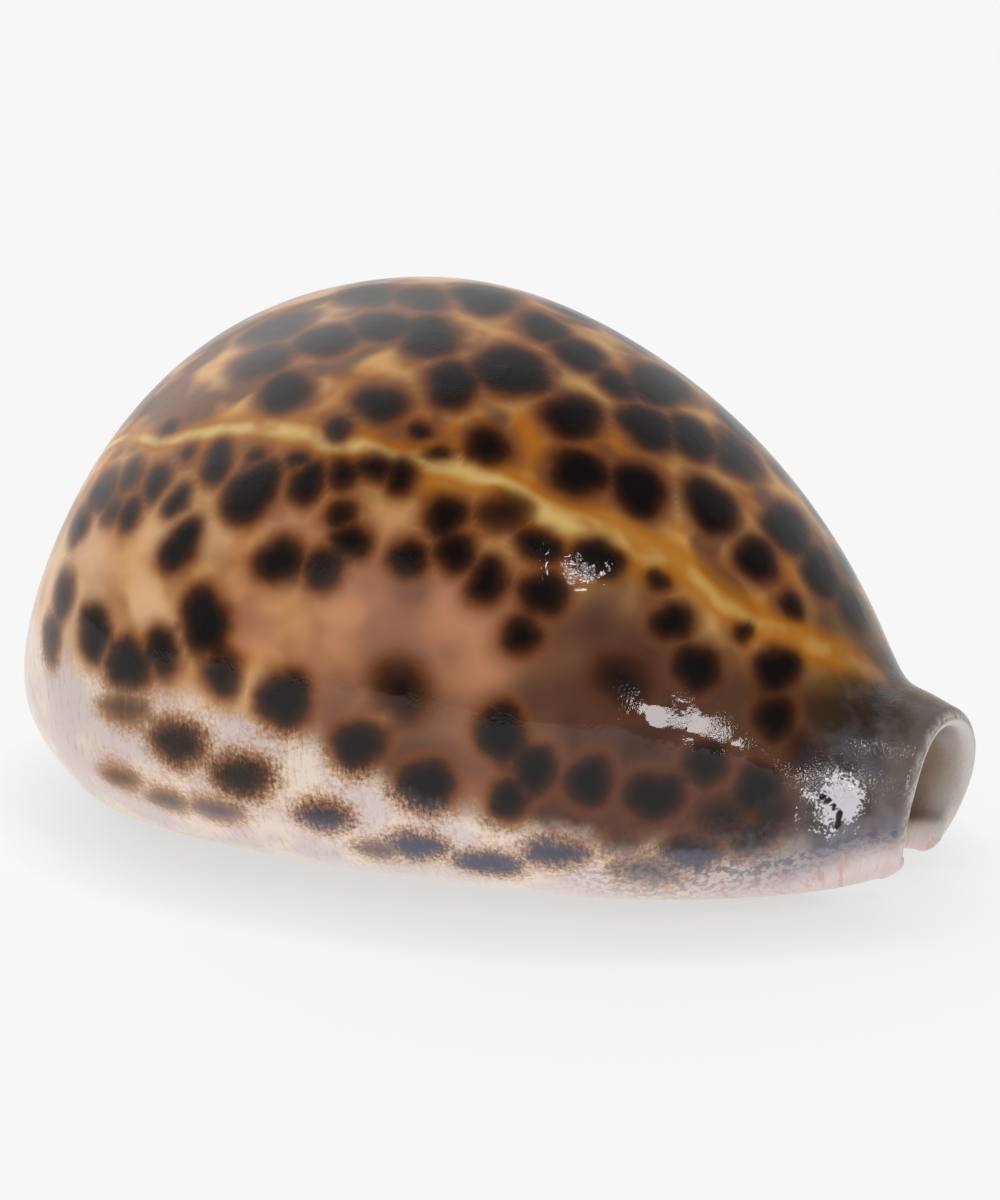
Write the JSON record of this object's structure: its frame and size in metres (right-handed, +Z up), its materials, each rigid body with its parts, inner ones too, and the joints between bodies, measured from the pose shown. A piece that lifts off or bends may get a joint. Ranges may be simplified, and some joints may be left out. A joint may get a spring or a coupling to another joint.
{
  "type": "cowrie shell",
  "caption": "Glossy spotted tiger cowrie shell lying on its base, hollow, with a toothed slit aperture below and a flared canal at its narrow end.",
  "frame": {"origin": "under the middle of the shell's bounding box, on the plane it rests on", "axes": "+X to the narrow front end with the siphonal canal, +Z up, the outer lip on the -Y side and the columella on the +Y side"},
  "size_m": [0.0864, 0.061, 0.0481],
  "materials": {
    "glazed_shell": "glossy natural enamel, amber and brown with dark spots, white base"
  },
  "bodies": {
    "root": {"cowrie_shell": "glazed_shell"}
  },
  "joints": []
}
